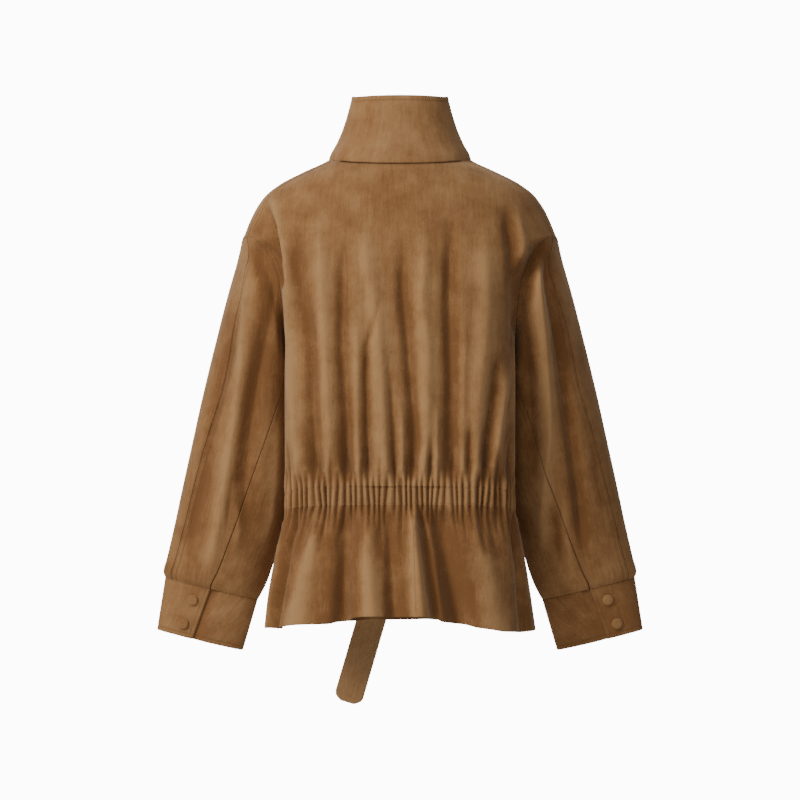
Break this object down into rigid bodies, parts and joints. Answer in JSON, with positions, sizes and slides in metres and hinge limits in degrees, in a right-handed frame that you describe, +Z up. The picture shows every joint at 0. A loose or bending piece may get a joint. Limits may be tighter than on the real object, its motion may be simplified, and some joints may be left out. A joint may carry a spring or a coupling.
{
  "type": "suede jacket",
  "caption": "Hip-length suede jacket with a tall stand collar, gathered elastic back waist, flared peplum, full sleeves with snapped cuffs, and a tie belt.",
  "frame": {"origin": "the middle of the neck seam, where the garment hangs on the wearer's shoulders", "axes": "+Z up, -Y the way the wearer faces, +X the wearer's left"},
  "size_m": [0.6876, 0.2784, 0.8667],
  "materials": {
    "body_suede": "napped matte suede",
    "collar_suede": "napped matte suede",
    "sleeve_suede": "napped matte suede",
    "trim_suede": "napped matte suede",
    "snap_suede": "napped matte suede"
  },
  "bodies": {
    "root": {"back_bodice": "body_suede", "front_left": "body_suede", "front_right": "body_suede", "collar": "collar_suede", "waist_back": "body_suede", "waist_front_left": "body_suede", "waist_front_right": "body_suede", "peplum_back_left": "body_suede", "peplum_back_right": "body_suede", "peplum_front_left": "body_suede", "peplum_front_right": "body_suede", "sleeve_left_back": "sleeve_suede", "sleeve_left_under": "sleeve_suede", "sleeve_left_front": "sleeve_suede", "sleeve_right_back": "sleeve_suede", "sleeve_right_under": "sleeve_suede", "sleeve_right_front": "sleeve_suede", "cuff_left": "trim_suede", "cuff_right": "trim_suede", "snap_cuff_left_1": "snap_suede", "snap_cuff_left_2": "snap_suede", "snap_cuff_right_1": "snap_suede", "snap_cuff_right_2": "snap_suede", "snap_front_1": "snap_suede", "snap_front_2": "snap_suede", "snap_front_3": "snap_suede", "snap_front_4": "snap_suede", "snap_front_5": "snap_suede", "snap_front_6": "snap_suede", "belt_left": "trim_suede", "belt_right": "trim_suede", "belt_knot": "trim_suede", "belt_tail_left": "trim_suede", "belt_tail_right": "trim_suede"}
  },
  "joints": []
}
